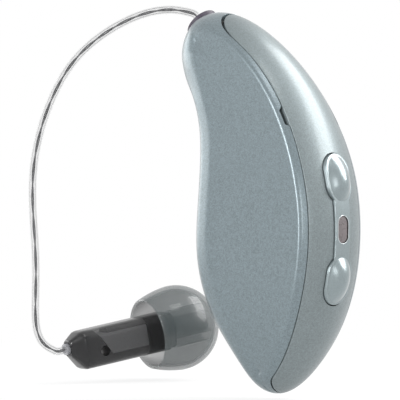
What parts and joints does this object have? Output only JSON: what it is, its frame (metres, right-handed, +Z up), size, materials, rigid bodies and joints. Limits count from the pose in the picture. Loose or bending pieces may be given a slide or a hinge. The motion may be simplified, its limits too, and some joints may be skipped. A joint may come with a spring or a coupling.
{
  "type": "behind the ear hearing aid",
  "caption": "Curved grey case worn behind the ear, with a rocker and indicator on its spine, and a thin wire to a small receiver with a soft ear dome.",
  "frame": {"origin": "deepest point of the case's front edge, on its mid-plane, where the case rests on the root of the ear", "axes": "+Z up towards the crest, +X back towards the spine with the rocker, +Y towards the skull and the ear canal; the case's mid-plane is Y = 0"},
  "size_m": [0.0407, 0.0241, 0.0364],
  "materials": {
    "outer_case_half": "satin metallic silver-grey",
    "inner_case_half": "satin metallic silver-grey",
    "spine_cover": "satin metallic light grey",
    "pivot_pins": "bright",
    "rocker_bracket": "moulded",
    "indicator_lens": "smoked clear",
    "indicator_lamp": "moulded",
    "main_board": "solder mask",
    "upper_switch": "ceramic",
    "lower_switch": "ceramic",
    "upper_snap_dome": "spring steel",
    "lower_snap_dome": "spring steel",
    "signal_processor": "moulded",
    "radio_module": "tinned can",
    "telecoil": "enamelled winding",
    "front_microphone": "plated can",
    "rear_microphone": "plated can",
    "front_mic_gasket": "soft",
    "rear_mic_gasket": "soft",
    "mic_meshes": "woven mesh",
    "battery_cell": "nickel can",
    "battery_tabs": "nickel strip",
    "charge_contacts": "gold plated",
    "contact_carrier": "moulded",
    "inner_frame": "moulded",
    "receiver_socket": "moulded",
    "socket_contacts": "gold plated",
    "retention_clip": "spring strip",
    "rocker_button": "glossy metallic light grey",
    "receiver_plug": "dark satin",
    "plug_contacts": "gold plated",
    "plug_seal": "soft",
    "receiver_wire": "clear tube over fine conductors",
    "wire_strain_relief": "clear",
    "receiver_shell": "smoked",
    "receiver_speaker": "drawn can",
    "sound_spout": "smoked",
    "wax_guard": "moulded",
    "ear_dome": "translucent silicone"
  },
  "bodies": {
    "case": {"outer_case_half": "outer_case_half", "inner_case_half": "inner_case_half", "spine_cover": "spine_cover", "pivot_pins": "pivot_pins", "rocker_bracket": "rocker_bracket", "indicator_lens": "indicator_lens", "indicator_lamp": "indicator_lamp", "main_board": "main_board", "upper_switch": "upper_switch", "lower_switch": "lower_switch", "upper_snap_dome": "upper_snap_dome", "lower_snap_dome": "lower_snap_dome", "signal_processor": "signal_processor", "radio_module": "radio_module", "telecoil": "telecoil", "front_microphone": "front_microphone", "rear_microphone": "rear_microphone", "front_mic_gasket": "front_mic_gasket", "rear_mic_gasket": "rear_mic_gasket", "mic_meshes": "mic_meshes", "battery_cell": "battery_cell", "battery_tabs": "battery_tabs", "charge_contacts": "charge_contacts", "contact_carrier": "contact_carrier", "inner_frame": "inner_frame", "receiver_socket": "receiver_socket", "socket_contacts": "socket_contacts", "retention_clip": "retention_clip"},
    "rocker": {"rocker_button": "rocker_button"},
    "receiver": {"receiver_plug": "receiver_plug", "plug_contacts": "plug_contacts", "plug_seal": "plug_seal", "receiver_wire": "receiver_wire", "wire_strain_relief": "wire_strain_relief", "receiver_shell": "receiver_shell", "receiver_speaker": "receiver_speaker", "sound_spout": "sound_spout", "wax_guard": "wax_guard"},
    "dome": {"ear_dome": "ear_dome"}
  },
  "joints": [
    {"name": "rocker_tilt", "type": "hinge", "parent": "case", "child": "rocker", "pos_m": [0.01335, 0, -0.00664], "axis": [0, 1, 0], "range_deg": [-3, 3], "deforming": ["upper_snap_dome", "lower_snap_dome"]},
    {"name": "plug_slide", "type": "slide", "parent": "case", "child": "receiver", "axis": [-0.7466, 0, 0.6652], "range_m": [0, 0.0048]},
    {"name": "dome_pull", "type": "slide", "parent": "receiver", "child": "dome", "axis": [0.3041, 0.936, 0.1771], "range_m": [0, 0.004]}
  ]
}
